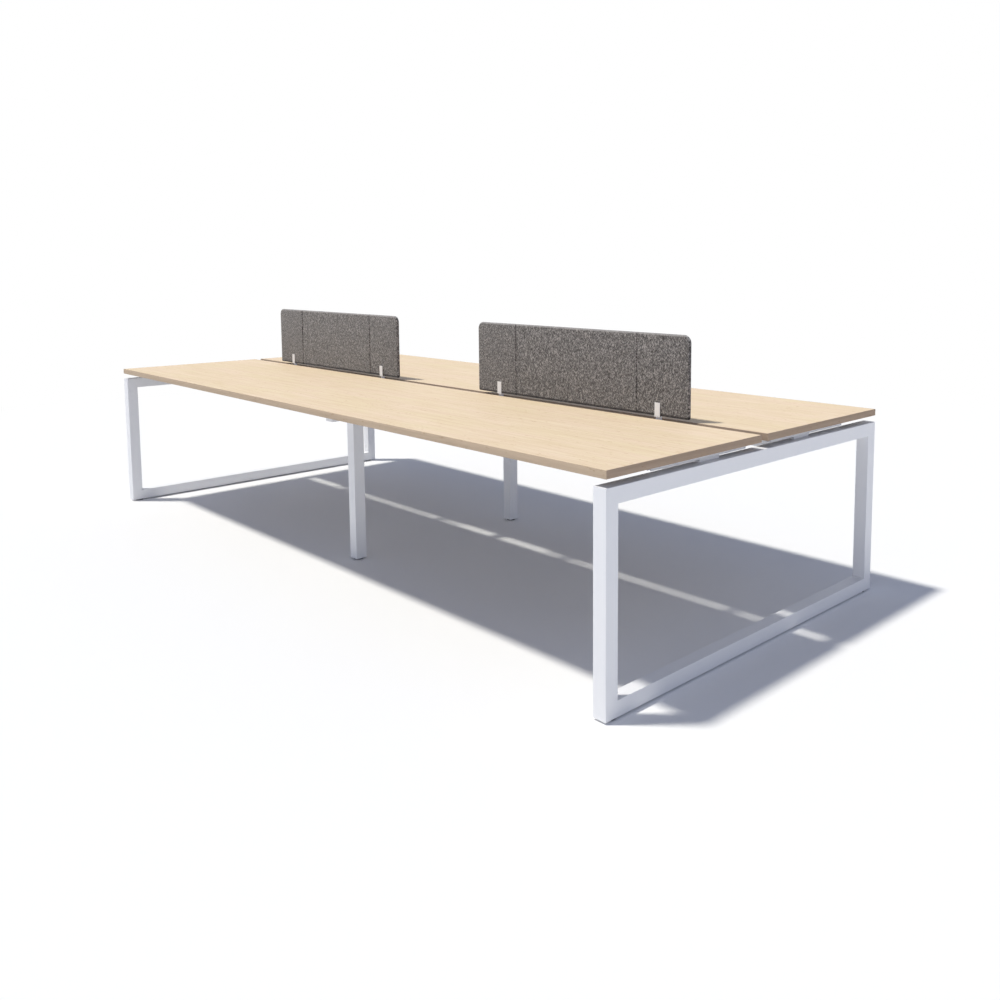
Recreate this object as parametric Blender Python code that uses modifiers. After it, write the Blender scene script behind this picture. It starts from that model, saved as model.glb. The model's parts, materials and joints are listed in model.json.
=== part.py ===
"""Back-to-back bench desk for four, on looped end frames, with felt screens along the middle.

Metres, +Z up. The origin is on the floor under the middle of the desk. X runs along the desk, Y across it,
and the front side is at -Y. At rest every levelling foot is screwed fully in.
"""
import math

import bmesh
import bpy
from mathutils import Matrix, Vector

# Worktops, two places long
BAY_LENGTH = 1.800
TOP_DEPTH = 0.748
TOP_GAP = 0.034
HEIGHT = 0.725
TOP_THICKNESS = 0.025
EDGE_BAND = 0.002

# Gap left between two pieces that touch
SEAT = 0.0003

# Square steel tube of the whole frame
TUBE = 0.050
WALL = 0.002
TUBE_CORNER = 0.001
TUBE_CORNER_STEPS = 3

# Support rails under the tops, and the spacers that carry them on the end frames
RAIL_WIDTH = 0.016
RAIL_HEIGHT = 0.015
RAIL_WALL = 0.002
RAIL_LENGTH = 0.476
RAIL_FROM_MIDDLE = 0.073
RAIL_FROM_END = 0.025
CENTRE_RAIL_WIDTH = 0.030
SPACER_LENGTH = 0.100
SPACER_HEIGHT = 0.0096

# Long beams and centre frame
BEAM_FROM_MIDDLE = 0.268
CROSS_BEAM_PAST_RAIL = 0.016
LEG_FROM_BEAM_END = 0.099
LEG_BOLT_HOLE = 0.020

# Felt screens
SCREEN_LENGTH = 1.175
SCREEN_HEIGHT = 0.302
SCREEN_THICKNESS = 0.016
SCREEN_ABOVE_TOP = 0.010
SCREEN_CORNER = 0.030
SCREEN_CORNER_STEPS = 8
SCREEN_LOWER_CORNER = 0.008
SCREEN_LOWER_STEPS = 4
SCREEN_EDGE_ROUND = 0.0075
SCREEN_EDGE_STEPS = 4
SEAM_FROM_END = 0.249
SEAM_WIDTH = 0.003

# Screen brackets
BRACKET_WIDTH = 0.050
BRACKET_FROM_END = 0.144
CLIP_WIDTH = 0.025
BRACKET_PLATE = 0.004
BRACKET_BEARING = 0.053
BRACKET_WEB = 0.004
CHEEK = 0.002
CHEEK_HEIGHT = 0.050

# Levelling feet
FOOT_FROM_END = 0.040
FOOT_TRAVEL = 0.015
PAD_DIAMETER = 0.040
PAD_HEIGHT = 0.006
PAD_CHAMFER = 0.001
STUD_DIAMETER = 0.010
STUD_ENGAGEMENT = 0.003
HEAD_DIAMETER = 0.018
HEAD_HEIGHT = 0.0024
NUT_ACROSS_FLATS = 0.017
NUT_HEIGHT = 0.008
PLUG_HEIGHT = 0.016
THREAD_CLEARANCE = 0.00005
STUD_HOLE_CLEARANCE = 0.001
ROUND_STEPS = 40

# Levels, from the floor up
FRAME_BOTTOM = PAD_HEIGHT + SEAT
TOP_UNDERSIDE = HEIGHT - TOP_THICKNESS
RAIL_TOP = TOP_UNDERSIDE - SEAT
RAIL_BOTTOM = RAIL_TOP - RAIL_HEIGHT
SPACER_TOP = RAIL_BOTTOM - SEAT
SPACER_BOTTOM = SPACER_TOP - SPACER_HEIGHT
FRAME_TOP = SPACER_BOTTOM - SEAT
BEAM_LEVEL = FRAME_TOP - TUBE / 2
LEG_TOP = FRAME_TOP - TUBE - SEAT
SCREEN_BOTTOM = HEIGHT + SCREEN_ABOVE_TOP
PLATE_LEVEL = TOP_UNDERSIDE - SEAT - BRACKET_PLATE / 2

# Places along X and across Y
LENGTH = 2 * BAY_LENGTH
DEPTH = 2 * TOP_DEPTH + TOP_GAP
FRAME_X = LENGTH / 2 - TUBE / 2
TOP_Y = (TOP_GAP + TOP_DEPTH) / 2
RAIL_X = LENGTH / 2 - RAIL_FROM_END - RAIL_WIDTH / 2
RAIL_Y = RAIL_FROM_MIDDLE + RAIL_LENGTH / 2
CROSS_BEAM_LENGTH = 2 * (RAIL_FROM_MIDDLE + RAIL_LENGTH + CROSS_BEAM_PAST_RAIL)
LEG_Y = CROSS_BEAM_LENGTH / 2 - LEG_FROM_BEAM_END - TUBE / 2
FOOT_Y = DEPTH / 2 - FOOT_FROM_END
SCREEN_X = BAY_LENGTH / 2
BRACKET_X = SCREEN_LENGTH / 2 - BRACKET_FROM_END

# Feet: the stud reaches through the wall and the nut, and still holds when the pad is fully out
NUT_BOTTOM = FRAME_BOTTOM + WALL + SEAT
STUD_TOP = max(NUT_BOTTOM + NUT_HEIGHT, FRAME_BOTTOM + PLUG_HEIGHT) + FOOT_TRAVEL + STUD_ENGAGEMENT

SIDES = {"front": -1, "back": 1}
ENDS = {"left": -1, "right": 1}
X_AXIS = Vector((1, 0, 0))
Y_AXIS = Vector((0, 1, 0))
Z_AXIS = Vector((0, 0, 1))


def clear_scene():
    """Remove every object and empty collection that the file started with."""
    for obj in list(bpy.data.objects):
        bpy.data.objects.remove(obj, do_unlink=True)
    for collection in list(bpy.data.collections):
        bpy.data.collections.remove(collection)


def new_collection(name):
    """Make a collection in the scene."""
    collection = bpy.data.collections.new(name)
    bpy.context.scene.collection.children.link(collection)
    return collection


def make_material(name, colour, roughness, metallic=0.0):
    """A plain Principled material."""
    material = bpy.data.materials.new(name)
    material.use_nodes = True
    shader = material.node_tree.nodes["Principled BSDF"]
    shader.inputs["Base Color"].default_value = (*colour, 1.0)
    shader.inputs["Roughness"].default_value = roughness
    shader.inputs["Metallic"].default_value = metallic
    return material


class Desk:
    """Holds the collections, the materials and the empty that carries every piece."""

    def __init__(self):
        self.parts = new_collection("bench_desk_for_four")
        self.cutters = new_collection("bench_desk_cutters")
        self.origin = bpy.data.objects.new("bench_desk_origin", None)
        self.parts.objects.link(self.origin)
        self.maple = make_material("maple_laminate", (0.80, 0.66, 0.46), 0.45)
        self.edging = make_material("maple_edging", (0.47, 0.37, 0.28), 0.50)
        self.white_steel = make_material("white_powder_coat", (0.86, 0.87, 0.90), 0.40)
        self.felt = make_material("grey_felt", (0.18, 0.166, 0.158), 0.95)
        self.black_plastic = make_material("black_plastic", (0.02, 0.02, 0.022), 0.55)
        self.zinc = make_material("zinc_steel", (0.62, 0.62, 0.60), 0.35, 1.0)

    def add(self, name, data, material, matrix, parent=None):
        """Put a mesh or curve in the desk as a named piece."""
        obj = bpy.data.objects.new(name, data)
        data.materials.clear()
        data.materials.append(material)
        self.parts.objects.link(obj)
        obj.parent = parent or self.origin
        obj.matrix_basis = matrix
        return obj

    def shape(self, piece, name, mesh, matrix, operation):
        """Change a piece by the shape of a mesh, which is placed as the piece is."""
        cutter = bpy.data.objects.new(f"{piece.name}_{name}", mesh)
        self.cutters.objects.link(cutter)
        cutter.parent = piece.parent
        cutter.matrix_basis = matrix
        cutter.display_type = "WIRE"
        cutter.hide_render = True
        boolean = piece.modifiers.new(name, "BOOLEAN")
        boolean.operation = operation
        boolean.solver = "EXACT"
        boolean.object = cutter

    def cut(self, piece, name, mesh, matrix):
        """Take the shape of a mesh out of a piece."""
        self.shape(piece, name, mesh, matrix, "DIFFERENCE")

    def weld(self, piece, name, mesh, matrix):
        """Make the shape of a mesh part of a piece."""
        self.shape(piece, name, mesh, matrix, "UNION")


def placed(location, along=X_AXIS, up=Z_AXIS):
    """A matrix that puts local X along one axis and local Z along another."""
    across = up.cross(along)
    turn = Matrix((along, across, up)).transposed().to_4x4()
    return Matrix.Translation(location) @ turn


def mesh_from(bm, name, smooth_angle=math.radians(35)):
    """Turn a bmesh into a mesh, with only its sharp edges left sharp."""
    mesh = bpy.data.meshes.new(name)
    bm.to_mesh(mesh)
    bm.free()
    mesh.shade_smooth()
    mesh.set_sharp_from_angle(angle=smooth_angle)
    return mesh


def box_bmesh(size):
    """A box of the given size about its centre."""
    bm = bmesh.new()
    bmesh.ops.create_cube(bm, size=1.0)
    bmesh.ops.scale(bm, vec=size, verts=bm.verts)
    return bm


def box(name, size):
    """A box mesh of the given size about its centre."""
    return mesh_from(box_bmesh(size), name)


def cylinder(name, radius, low, high, steps=ROUND_STEPS):
    """An upright cylinder mesh between two heights. Its flats, not its corners, lie at the radius."""
    corner_radius = radius / math.cos(math.pi / steps)
    bm = bmesh.new()
    bmesh.ops.create_cone(
        bm, cap_ends=True, segments=steps, radius1=corner_radius, radius2=corner_radius, depth=high - low
    )
    bmesh.ops.translate(bm, vec=(0, 0, (low + high) / 2), verts=bm.verts)
    return mesh_from(bm, name)


def tube_outside(name, length, mitred):
    """The outside of a square tube along local X. Mitred ends leave the side at local -Z the longer one."""
    bm = box_bmesh((length, TUBE, TUBE))
    long_edges = [edge for edge in bm.edges if abs(edge.verts[0].co.x - edge.verts[1].co.x) > length / 2]
    bmesh.ops.bevel(
        bm,
        geom=long_edges,
        offset=TUBE_CORNER,
        segments=TUBE_CORNER_STEPS,
        profile=0.5,
        affect="EDGES",
    )
    if mitred:
        for vert in bm.verts:
            set_back = vert.co.z + TUBE / 2 + SEAT / math.sqrt(2)
            vert.co.x -= math.copysign(set_back, vert.co.x)
    return mesh_from(bm, name)


def add_tube(desk, name, length, matrix, mitred=False, closed=False):
    """A hollow square tube. A closed one keeps a wall across each end."""
    bore_length = length - 2 * WALL if closed else length + TUBE
    piece = desk.add(name, tube_outside(name, length, mitred), desk.white_steel, matrix)
    bore = box(f"{name}_bore", (bore_length, TUBE - 2 * WALL, TUBE - 2 * WALL))
    desk.cut(piece, "bore", bore, matrix)
    return piece


def outline_mesh(name, points, depth):
    """A flat outline in local XY, thickened about its plane along local Z."""
    bm = bmesh.new()
    face = bm.faces.new([bm.verts.new((x, y, -depth / 2)) for x, y in points])
    grown = bmesh.ops.extrude_face_region(bm, geom=[face])["geom"]
    far_side = [item for item in grown if isinstance(item, bmesh.types.BMVert)]
    bmesh.ops.translate(bm, vec=(0, 0, depth), verts=far_side)
    bmesh.ops.recalc_face_normals(bm, faces=bm.faces)
    return mesh_from(bm, name)


def add_turned(desk, name, profile, material, matrix, parent, closed):
    """A shape turned about local Z from points (radius, height) that run down its outer side."""
    mesh = bpy.data.meshes.new(name)
    bm = bmesh.new()
    verts = [bm.verts.new((radius, 0, height)) for radius, height in profile]
    for first, second in zip(verts, verts[1:]):
        bm.edges.new((first, second))
    if closed:
        bm.edges.new((verts[-1], verts[0]))
    bm.to_mesh(mesh)
    bm.free()
    piece = desk.add(name, mesh, material, matrix, parent)
    screw = piece.modifiers.new("turn", "SCREW")
    screw.steps = ROUND_STEPS
    screw.render_steps = ROUND_STEPS
    screw.use_merge_vertices = True
    screw.merge_threshold = 0.00001
    screw.use_smooth_shade = False
    return piece


def add_worktops(desk):
    """Both boards, each with four strips of edging round it."""
    core_length = LENGTH - 2 * (EDGE_BAND + SEAT)
    core_depth = TOP_DEPTH - 2 * (EDGE_BAND + SEAT)
    level = TOP_UNDERSIDE + TOP_THICKNESS / 2
    for side, sign in SIDES.items():
        middle = Vector((0, sign * TOP_Y, level))
        core = box(f"worktop_{side}", (core_length, core_depth, TOP_THICKNESS))
        desk.add(f"worktop_{side}", core, desk.maple, Matrix.Translation(middle))
        for edge, way in {"outer": sign, "inner": -sign}.items():
            name = f"edge_band_{side}_{edge}"
            strip = box(name, (LENGTH, EDGE_BAND, TOP_THICKNESS))
            offset = Vector((0, way * (TOP_DEPTH - EDGE_BAND) / 2, 0))
            desk.add(name, strip, desk.edging, Matrix.Translation(middle + offset))
        for end, way in ENDS.items():
            name = f"edge_band_{side}_{end}"
            strip = box(name, (EDGE_BAND, core_depth, TOP_THICKNESS))
            offset = Vector((way * (LENGTH - EDGE_BAND) / 2, 0, 0))
            desk.add(name, strip, desk.edging, Matrix.Translation(middle + offset))


def add_end_frames(desk):
    """A loop of four mitred tubes at each end. The bottom rails are holed for the feet."""
    height = FRAME_TOP - FRAME_BOTTOM
    middle = (FRAME_TOP + FRAME_BOTTOM) / 2
    for end, way in ENDS.items():
        x = way * FRAME_X
        top = placed((x, 0, FRAME_TOP - TUBE / 2), along=Y_AXIS, up=-Z_AXIS)
        add_tube(desk, f"{end}_frame_top_rail", DEPTH, top, mitred=True)
        low = placed((x, 0, FRAME_BOTTOM + TUBE / 2), along=Y_AXIS, up=Z_AXIS)
        bottom_rail = add_tube(desk, f"{end}_frame_bottom_rail", DEPTH, low, mitred=True)
        for side, sign in SIDES.items():
            y = sign * (DEPTH - TUBE) / 2
            stand = placed((x, y, middle), along=Z_AXIS, up=-sign * Y_AXIS)
            add_tube(desk, f"{end}_frame_{side}_upright", height, stand, mitred=True)
            radius = STUD_DIAMETER / 2 + STUD_HOLE_CLEARANCE
            hole = cylinder(f"{end}_{side}_stud_hole", radius, -WALL, 2 * WALL)
            at_foot = Matrix.Translation((x, sign * FOOT_Y, FRAME_BOTTOM))
            desk.cut(bottom_rail, f"{side}_stud_hole", hole, at_foot)


def add_centre_frame(desk):
    """The cross beam, closed at its ends and holed over each leg, and the two legs."""
    at_beam = placed((0, 0, BEAM_LEVEL), along=Y_AXIS)
    beam = add_tube(desk, "centre_cross_beam", CROSS_BEAM_LENGTH, at_beam, closed=True)
    leg_length = LEG_TOP - FRAME_BOTTOM
    leg_middle = (LEG_TOP + FRAME_BOTTOM) / 2
    for side, sign in SIDES.items():
        y = sign * LEG_Y
        stand = placed((0, y, leg_middle), along=Z_AXIS, up=Y_AXIS)
        add_tube(desk, f"centre_leg_{side}", leg_length, stand)
        hole = cylinder(f"{side}_leg_bolt_hole", LEG_BOLT_HOLE / 2, -WALL, 2 * WALL)
        desk.cut(beam, f"{side}_bolt_hole", hole, Matrix.Translation((0, y, FRAME_TOP - TUBE)))


def add_long_beams(desk):
    """Four tubes that tie the end frames to the centre frame."""
    inner = TUBE / 2 + SEAT
    outer = FRAME_X - TUBE / 2 - SEAT
    for side, sign in SIDES.items():
        for end, way in ENDS.items():
            middle = (way * (inner + outer) / 2, sign * BEAM_FROM_MIDDLE, BEAM_LEVEL)
            add_tube(desk, f"long_beam_{side}_{end}", outer - inner, placed(middle))


def channel_outline(width, height):
    """A channel section, open downwards, with its top edge at zero."""
    half = width / 2
    inside = half - RAIL_WALL
    return [
        (-half, -height),
        (-inside, -height),
        (-inside, -RAIL_WALL),
        (inside, -RAIL_WALL),
        (inside, -height),
        (half, -height),
        (half, 0),
        (-half, 0),
    ]


def add_support_rails(desk):
    """The channels that carry the tops, and the spacers under those at the ends."""
    centre_height = RAIL_TOP - FRAME_TOP - SEAT
    end_section = channel_outline(RAIL_WIDTH, RAIL_HEIGHT)
    centre_section = channel_outline(CENTRE_RAIL_WIDTH, centre_height)
    spacer_level = (SPACER_TOP + SPACER_BOTTOM) / 2
    for side, sign in SIDES.items():
        y = sign * RAIL_Y
        middle = placed((0, y, RAIL_TOP), along=X_AXIS, up=-Y_AXIS)
        name = f"support_rail_{side}_centre"
        desk.add(name, outline_mesh(name, centre_section, RAIL_LENGTH), desk.white_steel, middle)
        for end, way in ENDS.items():
            x = way * RAIL_X
            name = f"support_rail_{side}_{end}"
            at_end = placed((x, y, RAIL_TOP), along=X_AXIS, up=-Y_AXIS)
            desk.add(name, outline_mesh(name, end_section, RAIL_LENGTH), desk.white_steel, at_end)
            name = f"rail_spacer_{side}_{end}"
            spacer = box(name, (RAIL_WIDTH, SPACER_LENGTH, SPACER_HEIGHT))
            at_beam = Matrix.Translation((x, sign * BEAM_FROM_MIDDLE, spacer_level))
            desk.add(name, spacer, desk.white_steel, at_beam)


def screen_panel(name):
    """A felt panel about its centre, with round corners, the upper ones larger, and eased edges."""
    bm = box_bmesh((SCREEN_LENGTH, SCREEN_THICKNESS, SCREEN_HEIGHT))
    through = [edge for edge in bm.edges if edge.verts[0].co.y * edge.verts[1].co.y < 0]
    upper = [edge for edge in through if edge.verts[0].co.z > 0]
    lower = [edge for edge in through if edge.verts[0].co.z < 0]
    bmesh.ops.bevel(
        bm, geom=upper, offset=SCREEN_CORNER, segments=SCREEN_CORNER_STEPS, profile=0.5, affect="EDGES"
    )
    bmesh.ops.bevel(
        bm, geom=lower, offset=SCREEN_LOWER_CORNER, segments=SCREEN_LOWER_STEPS, profile=0.5, affect="EDGES"
    )
    rim = [edge for edge in bm.edges if edge.verts[0].co.y * edge.verts[1].co.y > 0]
    bmesh.ops.bevel(
        bm, geom=rim, offset=SCREEN_EDGE_ROUND, segments=SCREEN_EDGE_STEPS, profile=0.5, affect="EDGES"
    )
    return mesh_from(bm, name)


def seam_cutter(name):
    """Upright bars, set cornerwise into both faces of a screen, that leave a fine V groove each."""
    side = SEAM_WIDTH / math.sqrt(2)
    bm = bmesh.new()
    for x in (-1, 1):
        for y in (-1, 1):
            bar = bmesh.ops.create_cube(bm, size=1.0)["verts"]
            bmesh.ops.scale(bm, vec=(side, side, SCREEN_HEIGHT + SEAM_WIDTH), verts=bar)
            bmesh.ops.rotate(bm, matrix=Matrix.Rotation(math.pi / 4, 3, "Z"), verts=bar)
            place = (x * (SCREEN_LENGTH / 2 - SEAM_FROM_END), y * SCREEN_THICKNESS / 2, 0)
            bmesh.ops.translate(bm, vec=place, verts=bar)
    return mesh_from(bm, name)


def clip_outline():
    """A web up through the gap between the tops, and a saddle for the screen: (across, height)."""
    web_half = BRACKET_WEB / 2
    saddle_top = SCREEN_BOTTOM - SEAT
    saddle_bottom = saddle_top - CHEEK
    cheek_top = SCREEN_BOTTOM + CHEEK_HEIGHT
    inside = SCREEN_THICKNESS / 2 + SEAT
    outside = inside + CHEEK
    right = [
        (web_half, PLATE_LEVEL),
        (web_half, saddle_bottom),
        (outside, saddle_bottom),
        (outside, cheek_top),
        (inside, cheek_top),
        (inside, saddle_top),
    ]
    left = [(-across, height) for across, height in reversed(right)]
    return right + left


def add_screens(desk):
    """Both screens, each on two brackets, whose plates lie under both tops."""
    level = SCREEN_BOTTOM + SCREEN_HEIGHT / 2
    plate_size = (BRACKET_WIDTH, TOP_GAP + 2 * BRACKET_BEARING, BRACKET_PLATE)
    for end, way in ENDS.items():
        name = f"screen_{end}"
        at_screen = Matrix.Translation((way * SCREEN_X, 0, level))
        panel = desk.add(name, screen_panel(name), desk.felt, at_screen)
        desk.cut(panel, "seams", seam_cutter(f"{name}_seams"), at_screen)
        for place, sign in {"inner": -1, "outer": 1}.items():
            x = way * (SCREEN_X + sign * BRACKET_X)
            name = f"screen_bracket_{end}_{place}"
            clip = outline_mesh(name, clip_outline(), CLIP_WIDTH)
            bracket = desk.add(name, clip, desk.white_steel, placed((x, 0, 0), along=Y_AXIS, up=X_AXIS))
            plate = box(f"{name}_plate", plate_size)
            desk.weld(bracket, "plate", plate, Matrix.Translation((x, 0, PLATE_LEVEL)))


def pad_profile():
    """The section of a foot's pad, holed for its stud and hollowed below for the stud's head."""
    ease = 1 / math.cos(math.pi / ROUND_STEPS)
    bore = (STUD_DIAMETER / 2 + THREAD_CLEARANCE) * ease
    recess = (HEAD_DIAMETER / 2 + SEAT) * ease
    recess_top = HEAD_HEIGHT + 2 * SEAT
    rim = PAD_DIAMETER / 2
    return [
        (bore, PAD_HEIGHT),
        (rim - PAD_CHAMFER, PAD_HEIGHT),
        (rim, PAD_HEIGHT - PAD_CHAMFER),
        (rim, 0),
        (recess, 0),
        (recess, recess_top),
        (bore, recess_top),
    ]


def stud_profile():
    """The section of a foot's stud, with the flat head that turns in the pad."""
    radius = STUD_DIAMETER / 2
    head_top = SEAT + HEAD_HEIGHT
    return [
        (0, STUD_TOP),
        (radius, STUD_TOP),
        (radius, head_top),
        (HEAD_DIAMETER / 2, head_top),
        (HEAD_DIAMETER / 2, SEAT),
        (0, SEAT),
    ]


def add_foot(desk, place, x, y, in_leg):
    """One levelling foot, and the nut or plug that its stud screws into, on an empty at its axis."""
    axis = bpy.data.objects.new(f"foot_axis_{place}", None)
    desk.parts.objects.link(axis)
    axis.parent = desk.origin
    axis.location = (x, y, 0)
    here = Matrix.Identity(4)
    add_turned(desk, f"foot_pad_{place}", pad_profile(), desk.black_plastic, here, axis, closed=True)
    add_turned(desk, f"foot_stud_{place}", stud_profile(), desk.zinc, here, axis, closed=False)
    if in_leg:
        name = f"leg_plug_{place}"
        width = TUBE - 2 * WALL - 2 * SEAT
        height = PLUG_HEIGHT
        low = FRAME_BOTTOM
        blank = box(name, (width, width, height))
        material = desk.black_plastic
    else:
        name = f"weld_nut_{place}"
        height = NUT_HEIGHT
        low = NUT_BOTTOM
        blank = cylinder(name, NUT_ACROSS_FLATS / 2, -height / 2, height / 2, steps=6)
        material = desk.zinc
    at_middle = Matrix.Translation((0, 0, low + height / 2))
    holder = desk.add(name, blank, material, at_middle, axis)
    radius = STUD_DIAMETER / 2 + THREAD_CLEARANCE
    desk.cut(holder, "thread", cylinder(f"{name}_thread", radius, -height, height), at_middle)


def add_feet(desk):
    """A foot near each corner of the end frames and under each centre leg."""
    for side, sign in SIDES.items():
        add_foot(desk, f"{side}_centre", 0, sign * LEG_Y, in_leg=True)
        for end, way in ENDS.items():
            add_foot(desk, f"{side}_{end}", way * FRAME_X, sign * FOOT_Y, in_leg=False)


def main():
    """Build the whole desk."""
    clear_scene()
    desk = Desk()
    add_worktops(desk)
    add_end_frames(desk)
    add_centre_frame(desk)
    add_long_beams(desk)
    add_support_rails(desk)
    add_screens(desk)
    add_feet(desk)


main()
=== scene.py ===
"""Bench desk for four: finishes, fine shapes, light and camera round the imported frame.

Metres, +Z up, in the frame of the part: X along the desk, Y across it, the front at -Y, the floor at zero.
"""

import json
import math

import bmesh
import bpy
from mathutils import Matrix, Vector


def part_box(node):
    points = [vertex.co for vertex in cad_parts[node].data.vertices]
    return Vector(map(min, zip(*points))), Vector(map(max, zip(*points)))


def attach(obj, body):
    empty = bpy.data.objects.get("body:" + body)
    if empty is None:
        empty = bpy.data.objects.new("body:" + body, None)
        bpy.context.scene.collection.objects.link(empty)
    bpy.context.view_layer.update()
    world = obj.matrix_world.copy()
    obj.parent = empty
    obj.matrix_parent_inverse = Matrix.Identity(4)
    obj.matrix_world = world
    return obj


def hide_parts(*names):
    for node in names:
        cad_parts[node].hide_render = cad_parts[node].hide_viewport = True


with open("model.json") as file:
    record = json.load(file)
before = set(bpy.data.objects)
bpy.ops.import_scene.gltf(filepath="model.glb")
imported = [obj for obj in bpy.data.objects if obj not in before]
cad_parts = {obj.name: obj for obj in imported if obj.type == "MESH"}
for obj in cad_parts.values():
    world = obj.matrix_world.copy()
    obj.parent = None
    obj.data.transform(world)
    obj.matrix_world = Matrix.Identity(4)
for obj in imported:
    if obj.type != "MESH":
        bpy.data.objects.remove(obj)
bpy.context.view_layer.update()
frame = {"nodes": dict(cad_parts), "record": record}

SIDES = {"front": -1, "back": 1}
ENDS = {"left": -1, "right": 1}
PLACES = ("left", "centre", "right")
FEET = [f"{side}_{place}" for side in SIDES for place in PLACES]

# Meshes: places this near are the same, points this near are joined, and edges this flat are shaded smooth
SAME = 1e-5
JOIN = 1e-6
FINE_JOIN = 1e-7
SMOOTH_ANGLE = math.radians(35)
THREAD_SMOOTH_ANGLE = math.radians(50)
UPRIGHT = (0, 0, 1)
FULL_TURN = 2 * math.pi

# Sockets of a Mix node that mixes colours
MIX_FIRST = 6
MIX_SECOND = 7
MIX_RESULT = 2

# Camera
CAMERA_PLACE = (3.4873, -2.5573, 1.2753)
CAMERA_YAW = math.radians(44.3304)
CAMERA_DOWN = math.radians(5.83)
CAMERA_LENS = 33.1962
CAMERA_SENSOR = 36.0
CAMERA_SHIFT = (-0.0894, -0.1388)
CAMERA_FAR = 300.0

# Light: the way the sun's rays travel, and the fill near the horizon and overhead
SUN_TRAVEL = (0.285, 0.28, -1.0)
SUN_STRENGTH = 2.63
SUN_COLOUR = (1.0, 0.974, 0.90)
SUN_ANGLE = math.radians(4.5)
FILL_LOW = (0.40, 0.43, 0.52)
FILL_HIGH = (0.18, 0.21, 0.30)

# Floor
FLOOR_HALF = 80.0
FLOOR_ALBEDO = (0.97, 0.97, 0.97)
FLOOR_FADE_FROM = 3.2
FLOOR_FADE_TO = 6.0

# Edging: the finish of each strip, its eased arris and the glue line that it closes
EDGING = {
    "outer": "maple_edging_along",
    # The inner strips, facing the gap, take the darker end print as painted shade in the gap
    "inner": "maple_edging_gap_shade",
    "left": "maple_edging_across",
    "right": "maple_edging_across",
}
BAND_ARRIS = 0.0010
BAND_ARRIS_STEPS = 3
BAND_GLUE_LINE = 0.00025

# Felt screens: a seam's section is given as shares of its half width and of its depth
FELT_CORNER = 0.030
FELT_CORNER_STEPS = 14
FELT_LOWER_CORNER = 0.008
FELT_LOWER_CORNER_STEPS = 6
FELT_RIM = 0.0075
FELT_RIM_STEPS = 8
FELT_SEAM_FROM_END = 0.249
FELT_SEAM_HALF = 0.0012
FELT_SEAM_DEPTH = 0.0012
FELT_SEAM_SECTION = ((-1.0, 0.0), (-0.4, 0.75), (0.0, 1.0), (0.4, 0.75), (1.0, 0.0))

# Frame welds
TUBE = 0.050
TUBE_CORNER = 0.001
TUBE_CORNER_STEPS = 3
MITRE_GAP = 0.0003
WELD_BITE = 0.0002

# Foot pads: the dome is given as steps in from the rim and down from the top, and a groove as steps in from
# its outer edge with shares of its depth
PAD_STEPS = 64
PAD_BORE_PLAY = 0.00005
PAD_BORE_CHAMFER = 0.0004
PAD_DOME = ((0.0016, 0.0), (0.0006, 0.0004), (0.0001, 0.0012), (0.0, 0.0022))
PAD_SOLE_CHAMFER_IN = 0.0006
PAD_SOLE_CHAMFER_UP = 0.0008
PAD_SOLE_RIM = 0.0015
PAD_GROOVES = 3
PAD_GROOVE_DEPTH = 0.0006
PAD_GROOVE_SECTION = ((0.0, 0.0), (0.0005, 1.0), (0.0013, 1.0), (0.0018, 0.0))
PAD_RECESS_RADIUS = 0.0094
PAD_RECESS_TOP = 0.0030
PAD_RECESS_CHAMFER = 0.0003

# Foot studs: the flanks are the heights of a thread ridge's four corners, as shares of the pitch
STUD_RADIUS = 0.005
STUD_HEAD_HEIGHT = 0.0024
STUD_HEAD_CHAMFER = 0.0003
STUD_NECK = 0.0036
STUD_NECK_TAPER = 0.0004
STUD_TIP_CHAMFER = 0.0006
THREAD_PITCH = 0.0015
THREAD_DEPTH = 0.0009
THREAD_STEPS = 20
THREAD_TIP_CLEAR = 0.0012
THREAD_BITE = 0.0002
THREAD_CREST_INSET = 0.0001
THREAD_FLANKS = (0.0, 0.55, 0.65, 1.15)

# Screws: a pan head is given as shares of its radius and of its height
SCREW_RADIUS = 0.004
SCREW_HEIGHT = 0.0022
SCREW_STEPS = 20
SCREW_HEAD = ((0.55, 0.98), (0.86, 0.78), (1.0, 0.38), (1.0, 0.0))
SCREW_DRIVE_RADIUS = 0.0016
SCREW_DRIVE_DEPTH = 0.0012
SCREW_DRIVE_TAPER = 0.9
SCREW_SEAT_GAP = 0.00005
RAIL_WALL = 0.002
RAIL_SCREW_SHARES = (0.06, 0.22, 0.62, 0.78, 0.94)
BRACKET_SCREW_INSET_X = 0.011
BRACKET_SCREW_INSET_Y = 0.018

# Maple laminate, its edging, and a dull dark sheet of painted shade under the boards
MAPLE = {
    "pale": (0.868, 0.730, 0.512),
    "rosy": (0.900, 0.732, 0.568),
    "streak": (0.765, 0.598, 0.405),
    "pore": (0.640, 0.480, 0.315),
    "fleck": (0.590, 0.405, 0.205),
}
LONG_EDGING = {
    "pale": (0.590, 0.465, 0.342),
    "rosy": (0.572, 0.446, 0.330),
    "streak": (0.510, 0.395, 0.284),
    "pore": (0.440, 0.332, 0.232),
    "fleck": (0.420, 0.300, 0.190),
}
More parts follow.
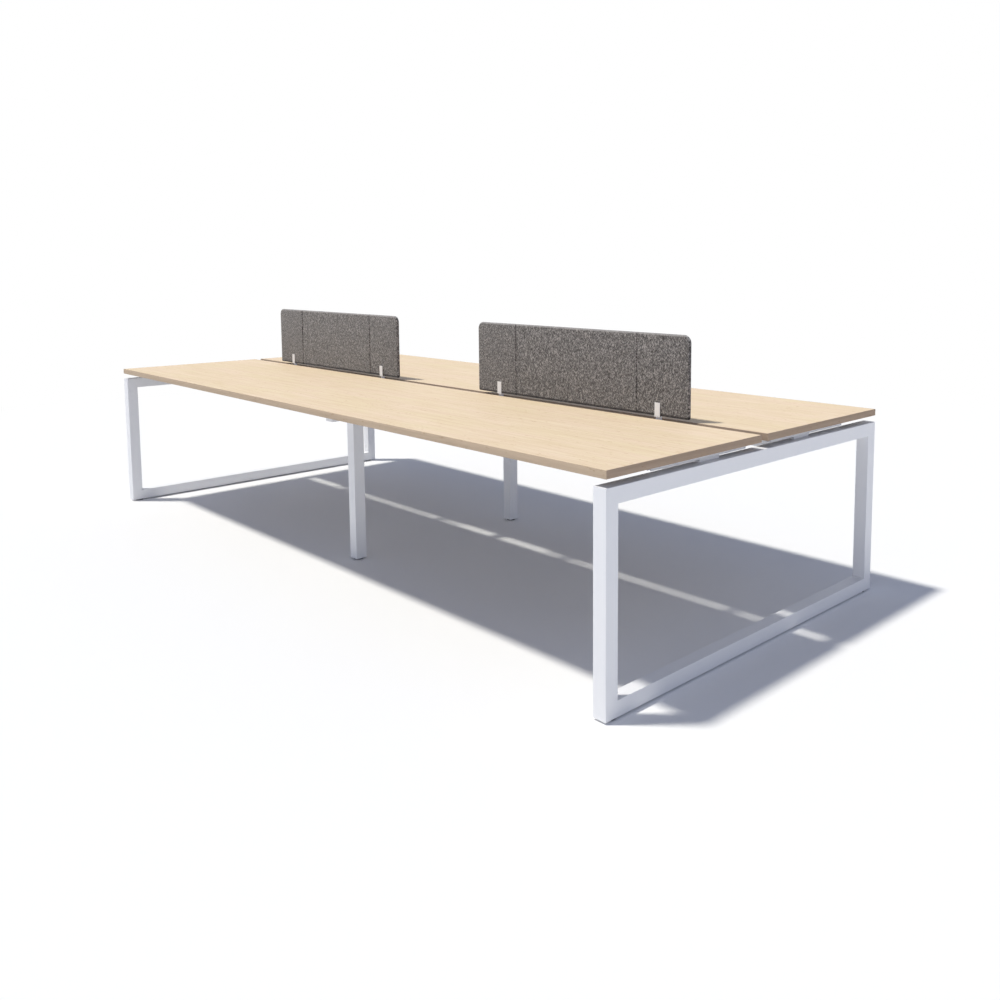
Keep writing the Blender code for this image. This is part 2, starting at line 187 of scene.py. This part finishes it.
# The darker print of the end strips, also used as painted shade on the strips in the gap
END_EDGING_AND_GAP_SHADE = {
    "pale": (0.460, 0.350, 0.264),
    "rosy": (0.444, 0.334, 0.252),
    "streak": (0.396, 0.294, 0.216),
    "pore": (0.338, 0.244, 0.172),
    "fleck": (0.328, 0.226, 0.146),
}
FIGURE_SIZE = (0.42, 0.085, 0.085)
STREAK_SIZE = (0.24, 0.0070, 0.0070)
PORE_SIZE = (0.016, 0.0009, 0.0009)
PORE_SHARE = 0.24
FLECK_SIZE = (0.026, 0.0065, 0.0065)
FLECK_SHIFT = (0.37, 0.11, 0.0)
FLECK_SHARE = 0.70
# Painted shade: a dark sheet under the boards that dims the light bounced beneath the desk
UNDERSIDE_SHADE = (0.235, 0.205, 0.180)
UNDERSIDE_SHADE_FIBRE = (0.290, 0.255, 0.225)
UNDERSIDE_SHADE_FIBRE_SIZE = (0.030, 0.004, 0.004)
UNDERSIDE_SHADE_THICKNESS = 0.0004

# White powder coat
WHITE = (0.908, 0.914, 0.938)
WHITE_WARM = (0.920, 0.924, 0.942)
WHITE_SPECK = (0.84, 0.85, 0.87)
WHITE_SPECK_SHARE = 0.35

# Felt: heather, slanting tufts and fibres, a painted highlight on top, painted shade on the lower rim
FELT_MID = (0.138, 0.132, 0.133)
FELT_MID_COOL = (0.131, 0.128, 0.133)
# The dark tone of the dark tufts, also used as painted shade on the lower rim
FELT_DARK_TUFT_AND_SHADE = (0.030, 0.027, 0.026)
FELT_LIGHT = (0.452, 0.430, 0.418)
FELT_TUFT = (0.0088, 0.0088, 0.0034)
FELT_TUFT_LEAN = (0, math.radians(54), 0)
FELT_TUFT_COUNTER_LEAN = (0, math.radians(126), 0)
FELT_TUFT_SHIFT = (0.2, 0.0, 0.4)
FELT_FIBRE = (0.206, 0.194, 0.191)
FELT_FIBRE_SIZE = (0.0040, 0.0040, 0.0007)
FELT_FIBRE_LEAN = (0, math.radians(70), 0)
FELT_FIBRE_SHARE = 0.25
# Painted highlight: a paler tone along the top of the felt, where the light falls from above
FELT_TOP_HIGHLIGHT = (0.450, 0.428, 0.412)
FELT_TOP_HIGHLIGHT_FROM = 0.0085
FELT_TOP_HIGHLIGHT_FULL = 0.0040
FELT_TOP_HIGHLIGHT_SHARE = 0.60
# Painted shade: the lower rim of the felt is darkened
FELT_FOOT_SHADE_FULL = 0.0085
FELT_FOOT_SHADE_TO = 0.0110
FELT_FOOT_SHADE_SHARE = 0.74

# Black nylon and zinc plate
BLACK = (0.018, 0.018, 0.020)
BLACK_WORN = (0.030, 0.030, 0.032)
ZINC = (0.56, 0.57, 0.57)
ZINC_WARM = (0.66, 0.66, 0.63)


class Finish:
    """A Principled material, built from textures that are laid out in metres."""

    def __init__(self, name, roughness, metallic=0.0):
        self.material = bpy.data.materials.new(name)
        self.material.use_nodes = True
        self.nodes = self.material.node_tree.nodes
        self.links = self.material.node_tree.links
        self.shader = self.nodes["Principled BSDF"]
        self.place = self.nodes.new("ShaderNodeTexCoord").outputs["Object"]
        self.shade(Roughness=roughness, Metallic=metallic)

    def put(self, socket, value):
        """Link a socket, or set it to a plain value."""
        if isinstance(value, bpy.types.NodeSocket):
            self.links.new(value, socket)
        else:
            socket.default_value = value

    def fill(self, node, inputs):
        """Put values, or links, on a node's named inputs."""
        for key, value in inputs.items():
            self.put(node.inputs[key.replace("_", " ")], value)

    def shade(self, **inputs):
        """Put values, or links, on the shader's named inputs."""
        self.fill(self.shader, inputs)

    def node(self, kind, **inputs):
        """A new node with values, or links, on its named inputs."""
        made = self.nodes.new(kind)
        self.fill(made, inputs)
        return made

    def spread(self, size, turn, shift):
        """The place on the piece, counted in features of the given size in metres, along turned axes."""
        mapping = self.node("ShaderNodeMapping", Vector=self.place, Location=shift, Rotation=turn, Scale=size)
        mapping.vector_type = "TEXTURE"
        return mapping.outputs["Vector"]

    def noise(self, size, detail=2.0, roughness=0.5, distortion=0.0, turn=(0, 0, 0), shift=(0, 0, 0)):
        """Soft noise, about 0.5, with features of the given size in metres."""
        made = self.node("ShaderNodeTexNoise", Vector=self.spread(size, turn, shift), Scale=1.0)
        self.fill(made, {"Detail": detail, "Roughness": roughness, "Distortion": distortion})
        return made.outputs["Fac"]

    def cloud(self, size, detail=2.0, roughness=0.5):
        """Soft noise with features as long as they are wide."""
        return self.noise((size, size, size), detail, roughness)

    def height(self):
        """The height on the piece."""
        return self.node("ShaderNodeSeparateXYZ", Vector=self.place).outputs["Z"]

    def between(self, value, low, high, to_low=0.0, to_high=1.0):
        """A value spread from one span to another and held there."""
        made = self.node("ShaderNodeMapRange", Value=value, From_Min=low, From_Max=high)
        self.fill(made, {"To Min": to_low, "To Max": to_high})
        return made.outputs["Result"]

    def combine(self, first, second, operation="ADD"):
        """Two values joined by a sum, or by another operation."""
        made = self.nodes.new("ShaderNodeMath")
        made.operation = operation
        self.put(made.inputs[0], first)
        self.put(made.inputs[1], second)
        return made.outputs[0]

    def blend(self, share, first, second):
        """A colour between two, by a share from 0 to 1."""
        made = self.nodes.new("ShaderNodeMix")
        made.data_type = "RGBA"
        self.put(made.inputs["Factor"], share)
        for socket, value in ((MIX_FIRST, first), (MIX_SECOND, second)):
            plain = not isinstance(value, bpy.types.NodeSocket)
            self.put(made.inputs[socket], (*value, 1.0) if plain else value)
        return made.outputs[MIX_RESULT]

    def bump(self, height, depth, strength):
        """Raise the surface by a height from 0 to 1 times a depth in metres."""
        made = self.node("ShaderNodeBump", Height=height, Distance=depth, Strength=strength)
        self.shade(Normal=made.outputs["Normal"])


def maple_finish(name, along, shades, underside=None):
    """Maple print with its grain along X (0) or Y (1): faint figure, fine streaks, pores and small flecks.

    Below the level of the underside, where one is given, a dull dark sheet of painted shade shows instead.
    """
    finish = Finish(name, roughness=0.5)
    turn = (0, 0, math.pi / 2 * along)
    figure = finish.noise(FIGURE_SIZE, detail=3.0, roughness=0.55, distortion=0.6, turn=turn)
    streaks = finish.noise(STREAK_SIZE, detail=5.0, roughness=0.66, turn=turn)
    pores = finish.noise(PORE_SIZE, turn=turn)
    flecks = finish.noise(FLECK_SIZE, detail=1.0, roughness=0.4, distortion=0.3, turn=turn, shift=FLECK_SHIFT)
    tone = finish.blend(finish.between(figure, 0.36, 0.64), shades["pale"], shades["rosy"])
    tone = finish.blend(finish.between(streaks, 0.36, 0.70), tone, shades["streak"])
    tone = finish.blend(finish.between(pores, 0.58, 0.72, to_high=PORE_SHARE), tone, shades["pore"])
    tone = finish.blend(finish.between(flecks, 0.69, 0.76, to_high=FLECK_SHARE), tone, shades["fleck"])
    # Painted shade: the underside turns dark, so less light bounces under the desk
    if underside is not None:
        fibre = finish.noise(UNDERSIDE_SHADE_FIBRE_SIZE, detail=4.0, roughness=0.6, distortion=0.4)
        shade_sheet = finish.blend(finish.between(fibre, 0.35, 0.70), UNDERSIDE_SHADE, UNDERSIDE_SHADE_FIBRE)
        shade_sheet_top = underside + UNDERSIDE_SHADE_THICKNESS
        print_from = underside + 2 * UNDERSIDE_SHADE_THICKNESS
        below = finish.between(finish.height(), shade_sheet_top, print_from, to_low=1.0, to_high=0.0)
        tone = finish.blend(below, tone, shade_sheet)
    satin = finish.between(streaks, 0.3, 0.7, to_low=0.54, to_high=0.66)
    finish.shade(Base_Color=tone, Roughness=satin, Specular_IOR_Level=0.08)
    finish.bump(finish.combine(streaks, pores), depth=0.00006, strength=0.5)
    return finish.material


def powder_coat_finish():
    """White powder coat: satin, with a fine orange peel and a trace of uneven tone."""
    finish = Finish("white_powder_coat_finish", roughness=0.48)
    cloud = finish.cloud(0.22, detail=3.0, roughness=0.55)
    speckle = finish.cloud(0.0011, roughness=0.6)
    peel = finish.cloud(0.0028)
    tone = finish.blend(finish.between(cloud, 0.3, 0.7), WHITE, WHITE_WARM)
    tone = finish.blend(finish.between(speckle, 0.60, 0.80, to_high=WHITE_SPECK_SHARE), tone, WHITE_SPECK)
    satin = finish.between(cloud, 0.3, 0.7, to_low=0.44, to_high=0.53)
    finish.shade(Base_Color=tone, Roughness=satin, Specular_IOR_Level=0.15)
    finish.bump(peel, depth=0.00005, strength=0.35)
    return finish.material


def felt_finish(bottom, top):
    """Heathered pressed felt: light and dark tufts of fibre that lie slantwise.

    A painted highlight runs along the top, and painted shade darkens the lower rim.
    """
    finish = Finish("grey_felt_finish", roughness=0.95)
    lean = finish.noise(FELT_TUFT, roughness=0.6, distortion=0.5, turn=FELT_TUFT_LEAN)
    counter = finish.noise(
        FELT_TUFT, roughness=0.6, distortion=0.5, turn=FELT_TUFT_COUNTER_LEAN, shift=FELT_TUFT_SHIFT
    )
    fibre = finish.noise(FELT_FIBRE_SIZE, roughness=0.6, distortion=1.2, turn=FELT_FIBRE_LEAN)
    cloud = finish.cloud(0.05)
    tufts = finish.combine(lean, counter)
    dark = finish.between(tufts, 0.79, 1.00, to_low=1.0, to_high=0.0)
    light = finish.between(tufts, 1.00, 1.21)
    tone = finish.blend(finish.between(cloud, 0.3, 0.7), FELT_MID, FELT_MID_COOL)
    tone = finish.blend(dark, tone, FELT_DARK_TUFT_AND_SHADE)
    tone = finish.blend(light, tone, FELT_LIGHT)
    tone = finish.blend(finish.between(fibre, 0.35, 0.70, to_high=FELT_FIBRE_SHARE), tone, FELT_FIBRE)
    level = finish.height()
    # Painted shade: the felt darkens towards its lower rim
    foot = finish.between(level, bottom + FELT_FOOT_SHADE_FULL, bottom + FELT_FOOT_SHADE_TO, FELT_FOOT_SHADE_SHARE, 0.0)
    tone = finish.blend(foot, tone, FELT_DARK_TUFT_AND_SHADE)
    # Painted highlight: the felt turns paler towards its top edge
    top_highlight = finish.between(level, top - FELT_TOP_HIGHLIGHT_FROM, top - FELT_TOP_HIGHLIGHT_FULL, 0.0, FELT_TOP_HIGHLIGHT_SHARE)
    tone = finish.blend(top_highlight, tone, FELT_TOP_HIGHLIGHT)
    finish.shade(Base_Color=tone, Sheen_Weight=0.25, Sheen_Roughness=0.6, Specular_IOR_Level=0.05)
    finish.bump(finish.combine(tufts, fibre), depth=0.0008, strength=0.55)
    return finish.material


def black_plastic_finish():
    """Moulded black nylon with a fine spark-eroded grain."""
    finish = Finish("black_plastic_finish", roughness=0.55)
    grain = finish.cloud(0.0007, roughness=0.6)
    cloud = finish.cloud(0.02)
    tone = finish.blend(finish.between(cloud, 0.3, 0.7), BLACK, BLACK_WORN)
    finish.shade(Base_Color=tone, Roughness=finish.between(grain, 0.3, 0.7, to_low=0.48, to_high=0.64))
    finish.bump(grain, depth=0.00005, strength=0.6)
    return finish.material


def zinc_finish():
    """Bright zinc plate, faintly clouded."""
    finish = Finish("zinc_steel_finish", roughness=0.32, metallic=1.0)
    cloud = finish.cloud(0.006, detail=3.0, roughness=0.6)
    grain = finish.noise((0.0005, 0.0005, 0.004), roughness=0.6)
    tone = finish.blend(finish.between(cloud, 0.3, 0.7), ZINC, ZINC_WARM)
    finish.shade(Base_Color=tone, Roughness=finish.between(cloud, 0.3, 0.7, to_low=0.26, to_high=0.42))
    finish.bump(grain, depth=0.00003, strength=0.4)
    return finish.material


def paint_node(name, material):
    """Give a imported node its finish."""
    mesh = frame["nodes"][name].data
    mesh.materials.clear()
    mesh.materials.append(material)


def piece_from(bm, name, material, body, stands_for=(), smooth=SMOOTH_ANGLE):
    """Turn a bmesh into a piece that rides on a body, in place of the named nodes."""
    mesh = bpy.data.meshes.new(name)
    bm.to_mesh(mesh)
    bm.free()
    mesh.shade_smooth()
    mesh.set_sharp_from_angle(angle=smooth)
    mesh.materials.append(material)
    obj = bpy.data.objects.new(name, mesh)
    bpy.context.scene.collection.objects.link(obj)
    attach(obj, body)
    if stands_for:
        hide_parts(*stands_for)
    return obj


def block(low, high):
    """A bmesh box between two corners."""
    bm = bmesh.new()
    bmesh.ops.create_cube(bm, size=1.0)
    bmesh.ops.scale(bm, vec=high - low, verts=bm.verts)
    bmesh.ops.translate(bm, vec=(low + high) / 2, verts=bm.verts)
    return bm


def ease(bm, edges, offset, steps):
    """Round some edges."""
    bmesh.ops.bevel(
        bm, geom=edges, offset=offset, segments=steps, profile=0.5,
        affect="EDGES", material=-1, clamp_overlap=True,
    )


def spin_section(bm, section, steps):
    """Turn a line of points (radius, height) once about the upright axis."""
    verts = [bm.verts.new((radius, 0, height)) for radius, height in section]
    edges = [bm.edges.new(pair) for pair in zip(verts, verts[1:])]
    bmesh.ops.spin(
        bm, geom=verts + edges, cent=(0, 0, 0), axis=UPRIGHT, angle=FULL_TURN, steps=steps, use_merge=True
    )


def turned(section, steps):
    """A closed shape turned about the upright axis from points (radius, height)."""
    bm = bmesh.new()
    spin_section(bm, section, steps)
    bmesh.ops.remove_doubles(bm, verts=bm.verts, dist=JOIN)
    bmesh.ops.recalc_face_normals(bm, faces=bm.faces)
    return bm


def add_edging(finishes):
    """Strips of edging with eased outer arrises, glued close against the boards."""
    for side, sign in SIDES.items():
        for edge in EDGING:
            node = f"edge_band_{side}_{edge}"
            low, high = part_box(node)
            if edge in ENDS:
                axis = 0
                way = ENDS[edge]
            else:
                axis = 1
                way = sign if edge == "outer" else -sign
            if way > 0:
                low[axis] -= BAND_GLUE_LINE
                outside = high[axis]
            else:
                high[axis] += BAND_GLUE_LINE
                outside = low[axis]
            bm = block(low, high)
            arrises = [
                rim for rim in bm.edges
                if all(abs(vert.co[axis] - outside) < SAME for vert in rim.verts)
                and abs(rim.verts[0].co.z - rim.verts[1].co.z) < SAME
            ]
            ease(bm, arrises, BAND_ARRIS, BAND_ARRIS_STEPS)
            piece_from(bm, f"{edge}_edging_{side}", finishes[EDGING[edge]], "desk", [node])


def runs_through(edge):
    """Whether an edge runs through a screen's thickness."""
    return abs(edge.verts[0].co.y - edge.verts[1].co.y) > SAME


def add_screens(finishes):
    """Felt screens with round corners, a soft rim and two upright seams pressed into each face."""
    for end in ENDS:
        node = f"screen_{end}"
        low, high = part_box(node)
        middle = (low + high) / 2
        bm = block(low, high)
        upper = [edge for edge in bm.edges if runs_through(edge) and edge.verts[0].co.z > middle.z]
        ease(bm, upper, FELT_CORNER, FELT_CORNER_STEPS)
        lower = [edge for edge in bm.edges if runs_through(edge) and edge.verts[0].co.z < low.z + SAME]
        ease(bm, lower, FELT_LOWER_CORNER, FELT_LOWER_CORNER_STEPS)
        rim = [edge for edge in bm.edges if not runs_through(edge)]
        ease(bm, rim, FELT_RIM, FELT_RIM_STEPS)
        for x in (low.x + FELT_SEAM_FROM_END, high.x - FELT_SEAM_FROM_END):
            press_seam(bm, x, middle.y)
        piece_from(bm, f"felt_screen_{end}", finishes["grey_felt"], "desk", [node])


def press_seam(bm, x, middle_y):
    """Press an upright groove into both faces of a screen."""
    for across, depth in FELT_SEAM_SECTION:
        place = (x + across * FELT_SEAM_HALF, 0, 0)
        geometry = bm.verts[:] + bm.edges[:] + bm.faces[:]
        cut = bmesh.ops.bisect_plane(bm, geom=geometry, dist=FINE_JOIN, plane_co=place, plane_no=(1, 0, 0))
        for vert in cut["geom_cut"]:
            if isinstance(vert, bmesh.types.BMVert):
                vert.co.y -= math.copysign(depth * FELT_SEAM_DEPTH, vert.co.y - middle_y)


def add_mitre_welds(finishes):
    """Dressed welds that close the four mitres of each end frame."""
    for end in ENDS:
        low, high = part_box(f"{end}_frame_top_rail")
        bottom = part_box(f"{end}_frame_bottom_rail")[0].z
        x = (low.x + high.x) / 2
        bm = bmesh.new()
        for y, inward_y in ((low.y, 1), (high.y, -1)):
            for z, inward_z in ((bottom, 1), (high.z, -1)):
                add_weld(bm, Vector((x, y, z)), inward_y, inward_z)
        piece_from(bm, f"{end}_frame_mitre_welds", finishes["white_powder_coat"], "desk")


def add_weld(bm, corner, inward_y, inward_z):
    """A thin plate in a mitre's plane, from the frame's outer corner to its inner one."""
    start = set(bm.verts)
    span = TUBE * math.sqrt(2)
    bmesh.ops.create_cube(bm, size=1.0)
    fresh = [vert for vert in bm.verts if vert not in start]
    bmesh.ops.scale(bm, vec=(TUBE, span, MITRE_GAP + 2 * WELD_BITE), verts=fresh)
    corners = {edge for vert in fresh for edge in vert.link_edges if edge.calc_length() < TUBE / 2}
    ease(bm, list(corners), TUBE_CORNER, TUBE_CORNER_STEPS)
    fresh = [vert for vert in bm.verts if vert not in start]
    slope = math.atan2(inward_z, inward_y)
    bmesh.ops.rotate(bm, matrix=Matrix.Rotation(slope, 3, "X"), verts=fresh)
    centre = corner + Vector((0, inward_y * TUBE / 2, inward_z * TUBE / 2))
    bmesh.ops.translate(bm, vec=centre, verts=fresh)


def add_feet(finishes):
    """Levelling feet: pads with a soft rim and grooved soles, on threaded studs."""
    for foot in FEET:
        pad_low, pad_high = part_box(f"foot_pad_{foot}")
        stud_low, stud_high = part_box(f"foot_stud_{foot}")
        centre = (pad_low + pad_high) / 2
        centre.z = 0
        bm = turned(pad_section((pad_high.x - pad_low.x) / 2, pad_high.z), PAD_STEPS)
        bmesh.ops.translate(bm, vec=centre, verts=bm.verts)
        piece_from(
            bm, f"levelling_pad_{foot}", finishes["black_plastic"], f"pad_{foot}",
            [f"foot_pad_{foot}"],
        )
        bm = threaded_stud(stud_low.z, stud_high.z, (stud_high.x - stud_low.x) / 2)
        bmesh.ops.translate(bm, vec=centre, verts=bm.verts)
        piece_from(
            bm, f"threaded_stud_{foot}", finishes["zinc_steel"], f"stud_{foot}",
            [f"foot_stud_{foot}"], THREAD_SMOOTH_ANGLE,
        )


def pad_section(outer, top):
    """A foot pad's section: a bore for the stud, a domed rim, fine grooves and a recess below."""
    bore = STUD_RADIUS + PAD_BORE_PLAY
    groove_span = (outer - PAD_SOLE_RIM - PAD_RECESS_RADIUS) / PAD_GROOVES
    points = [
        (bore, PAD_RECESS_TOP),
        (bore, top - PAD_BORE_CHAMFER),
        (bore + PAD_BORE_CHAMFER, top),
    ]
    points += [(outer - inward, top - down) for inward, down in PAD_DOME]
    points += [(outer, PAD_SOLE_CHAMFER_UP), (outer - PAD_SOLE_CHAMFER_IN, 0.0)]
    for index in range(PAD_GROOVES):
        edge = outer - PAD_SOLE_RIM - index * groove_span
        points += [(edge - inward, share * PAD_GROOVE_DEPTH) for inward, share in PAD_GROOVE_SECTION]
    points += [
        (PAD_RECESS_RADIUS + PAD_RECESS_CHAMFER, 0.0),
        (PAD_RECESS_RADIUS, PAD_RECESS_CHAMFER),
        (PAD_RECESS_RADIUS, PAD_RECESS_TOP),
        (bore, PAD_RECESS_TOP),
    ]
    return points


def threaded_stud(bottom, top, head_radius):
    """A stud with a flat head, a plain neck and a right-hand thread up to its chamfered tip."""
    root = STUD_RADIUS - THREAD_DEPTH
    head_top = bottom + STUD_HEAD_HEIGHT
    neck_top = head_top + STUD_NECK
    thread_from = neck_top + STUD_NECK_TAPER
    core = [
        (0, bottom),
        (head_radius - STUD_HEAD_CHAMFER, bottom),
        (head_radius, bottom + STUD_HEAD_CHAMFER),
        (head_radius, head_top - STUD_HEAD_CHAMFER),
        (head_radius - STUD_HEAD_CHAMFER, head_top),
        (STUD_RADIUS, head_top),
        (STUD_RADIUS, neck_top),
        (root, thread_from),
        (root, top - STUD_TIP_CHAMFER),
        (root - STUD_TIP_CHAMFER, top),
        (0, top),
    ]
    bm = turned(core, 2 * THREAD_STEPS)
    turns = int((top - THREAD_TIP_CLEAR - neck_top) / THREAD_PITCH) - 1
    ridge = thread_ridge(root - THREAD_BITE, STUD_RADIUS - THREAD_CREST_INSET, thread_from, turns)
    bm.from_mesh(ridge)
    bpy.data.meshes.remove(ridge)
    return bm


def thread_ridge(foot, crest, start, turns):
    """The mesh of a thread's ridge that winds up from a height."""
    bm = bmesh.new()
    heights = [start + share * THREAD_PITCH for share in THREAD_FLANKS]
    section = zip((foot, crest, crest, foot), heights)
    verts = [bm.verts.new((radius, 0, height)) for radius, height in section]
    edges = [bm.edges.new(pair) for pair in zip(verts, verts[1:] + verts[:1])]
    face = bm.faces.new(verts)
    bmesh.ops.spin(
        bm, geom=[face, *edges, *verts], cent=(0, 0, 0), axis=UPRIGHT, angle=FULL_TURN * turns,
        dvec=(0, 0, THREAD_PITCH / THREAD_STEPS), steps=turns * THREAD_STEPS, use_merge=False,
    )
    bmesh.ops.remove_doubles(bm, verts=bm.verts, dist=FINE_JOIN)
    bmesh.ops.recalc_face_normals(bm, faces=bm.faces)
    mesh = bpy.data.meshes.new("thread_ridge")
    bm.to_mesh(mesh)
    bm.free()
    return mesh


def screws_at(seats):
    """Pan-head screws, heads down, with a drive recess, each against a seat that faces the floor."""
    drive_top = SCREW_DRIVE_DEPTH - SCREW_HEIGHT
    section = [
        (0, drive_top),
        (SCREW_DRIVE_RADIUS * SCREW_DRIVE_TAPER, drive_top),
        (SCREW_DRIVE_RADIUS, -SCREW_HEIGHT),
    ]
    section += [(SCREW_RADIUS * wide, -SCREW_HEIGHT * deep) for wide, deep in SCREW_HEAD]
    section.append((0, 0))
    bm = bmesh.new()
    for seat in seats:
        start = set(bm.verts)
        spin_section(bm, section, SCREW_STEPS)
        fresh = [vert for vert in bm.verts if vert not in start]
        bmesh.ops.remove_doubles(bm, verts=fresh, dist=JOIN)
        fresh = [vert for vert in bm.verts if vert not in start]
        bmesh.ops.translate(bm, vec=seat, verts=fresh)
    bmesh.ops.recalc_face_normals(bm, faces=bm.faces)
    return bm


def add_rail_screws(finishes):
    """Screws up through the support rails into the boards."""
    for side, sign in SIDES.items():
        for place in PLACES:
            low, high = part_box(f"support_rail_{side}_{place}")
            x = (low.x + high.x) / 2
            inner_y = low.y if sign > 0 else high.y
            reach = sign * (high.y - low.y)
            level = high.z - RAIL_WALL - SCREW_SEAT_GAP
            bm = screws_at([Vector((x, inner_y + share * reach, level)) for share in RAIL_SCREW_SHARES])
            piece_from(bm, f"rail_screws_{side}_{place}", finishes["zinc_steel"], "desk")


def add_bracket_screws(finishes):
    """Screws up through the screen brackets' plates into the boards."""
    for end in ENDS:
        for place in ("inner", "outer"):
            low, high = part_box(f"screen_bracket_{end}_{place}")
            level = low.z - SCREW_SEAT_GAP
            bm = screws_at([
                Vector((x, y, level))
                for x in (low.x + BRACKET_SCREW_INSET_X, high.x - BRACKET_SCREW_INSET_X)
                for y in (low.y + BRACKET_SCREW_INSET_Y, high.y - BRACKET_SCREW_INSET_Y)
            ])
            piece_from(bm, f"bracket_screws_{end}_{place}", finishes["zinc_steel"], "desk")


def seen_share(tree):
    """1 for rays that show a surface to the camera, in gloss or through glass, and 0 for all others."""
    ray = tree.nodes.new("ShaderNodeLightPath")
    share = ray.outputs["Is Camera Ray"]
    for kind in ("Is Glossy Ray", "Is Transmission Ray"):
        either = tree.nodes.new("ShaderNodeMath")
        either.operation = "MAXIMUM"
        tree.links.new(share, either.inputs[0])
        tree.links.new(ray.outputs[kind], either.inputs[1])
        share = either.outputs[0]
    return share


def add_floor():
    """A pale floor that keeps the shadow near the desk and turns to plain white further off."""
    bm = bmesh.new()
    bmesh.ops.create_grid(bm, x_segments=1, y_segments=1, size=FLOOR_HALF)
    mesh = bpy.data.meshes.new("studio_floor")
    bm.to_mesh(mesh)
    bm.free()
    floor = bpy.data.objects.new("studio_floor", mesh)
    bpy.context.scene.collection.objects.link(floor)
    finish = Finish("studio_floor_finish", roughness=0.9)
    diffuse = finish.node("ShaderNodeBsdfDiffuse", Color=(*FLOOR_ALBEDO, 1.0))
    white = finish.node("ShaderNodeEmission", Color=(1, 1, 1, 1), Strength=1.0)
    distance = finish.nodes.new("ShaderNodeVectorMath")
    distance.operation = "LENGTH"
    finish.put(distance.inputs[0], finish.place)
    far = finish.between(distance.outputs["Value"], FLOOR_FADE_FROM, FLOOR_FADE_TO)
    share = finish.combine(far, seen_share(finish.material.node_tree), "MULTIPLY")
    mix = finish.node("ShaderNodeMixShader", Fac=share)
    finish.put(mix.inputs[1], diffuse.outputs[0])
    finish.put(mix.inputs[2], white.outputs[0])
    finish.put(finish.nodes["Material Output"].inputs["Surface"], mix.outputs[0])
    mesh.materials.append(finish.material)


def add_light():
    """A soft high key from the front left, and a cool fill that is dimmer overhead.

    The camera, gloss and glass see plain white in place of the fill.
    """
    lamp = bpy.data.lights.new("key_light", "SUN")
    lamp.energy = SUN_STRENGTH
    lamp.color = SUN_COLOUR
    lamp.angle = SUN_ANGLE
    key = bpy.data.objects.new("key_light", lamp)
    key.rotation_euler = Vector(SUN_TRAVEL).to_track_quat("-Z", "Y").to_euler()
    bpy.context.scene.collection.objects.link(key)
    world = bpy.data.worlds.new("studio_fill")
    world.use_nodes = True
    bpy.context.scene.world = world
    nodes = world.node_tree.nodes
    links = world.node_tree.links
    fill = nodes["Background"]
    way = nodes.new("ShaderNodeTexCoord")
    height = nodes.new("ShaderNodeSeparateXYZ")
    links.new(way.outputs["Generated"], height.inputs[0])
    shade = nodes.new("ShaderNodeMix")
    shade.data_type = "RGBA"
    shade.inputs[MIX_FIRST].default_value = (*FILL_LOW, 1.0)
    shade.inputs[MIX_SECOND].default_value = (*FILL_HIGH, 1.0)
    links.new(height.outputs["Z"], shade.inputs["Factor"])
    links.new(shade.outputs[MIX_RESULT], fill.inputs["Color"])
    white = nodes.new("ShaderNodeBackground")
    white.inputs["Color"].default_value = (1, 1, 1, 1)
    mix = nodes.new("ShaderNodeMixShader")
    links.new(seen_share(world.node_tree), mix.inputs["Fac"])
    links.new(fill.outputs[0], mix.inputs[1])
    links.new(white.outputs[0], mix.inputs[2])
    links.new(mix.outputs[0], nodes["World Output"].inputs["Surface"])


def add_camera():
    """The camera at the photograph's viewing angle."""
    data = bpy.data.cameras.new("desk_camera")
    data.lens = CAMERA_LENS
    data.sensor_width = CAMERA_SENSOR
    data.shift_x, data.shift_y = CAMERA_SHIFT
    data.clip_end = CAMERA_FAR
    camera = bpy.data.objects.new("desk_camera", data)
    camera.location = CAMERA_PLACE
    camera.rotation_euler = (math.pi / 2 - CAMERA_DOWN, 0, CAMERA_YAW)
    bpy.context.scene.collection.objects.link(camera)
    bpy.context.scene.camera = camera


def main():
    """Dress the desk and set up the studio."""
    screen_low, screen_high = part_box("screen_right")
    finishes = {
        "maple_laminate": maple_finish("maple_laminate_finish", 0, MAPLE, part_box("worktop_front")[0].z),
        "maple_edging_along": maple_finish("maple_edging_along_finish", 0, LONG_EDGING),
        # Painted shade: the strips in the gap between the boards take the darker end print
        "maple_edging_gap_shade": maple_finish("maple_edging_inner_finish", 0, END_EDGING_AND_GAP_SHADE),
        "maple_edging_across": maple_finish("maple_edging_across_finish", 1, END_EDGING_AND_GAP_SHADE),
        "white_powder_coat": powder_coat_finish(),
        "grey_felt": felt_finish(screen_low.z, screen_high.z),
        "black_plastic": black_plastic_finish(),
        "zinc_steel": zinc_finish(),
    }
    finishes["maple_edging"] = finishes["maple_edging_along"]
    for part in frame["record"]["subparts"]:
        paint_node(part["node"], finishes[part["material_slot"]])
    add_camera()
    add_edging(finishes)
    add_screens(finishes)
    add_mitre_welds(finishes)
    add_feet(finishes)
    add_rail_screws(finishes)
    add_bracket_screws(finishes)
    add_floor()
    add_light()
    bpy.context.scene.view_settings.view_transform = "Standard"


main()
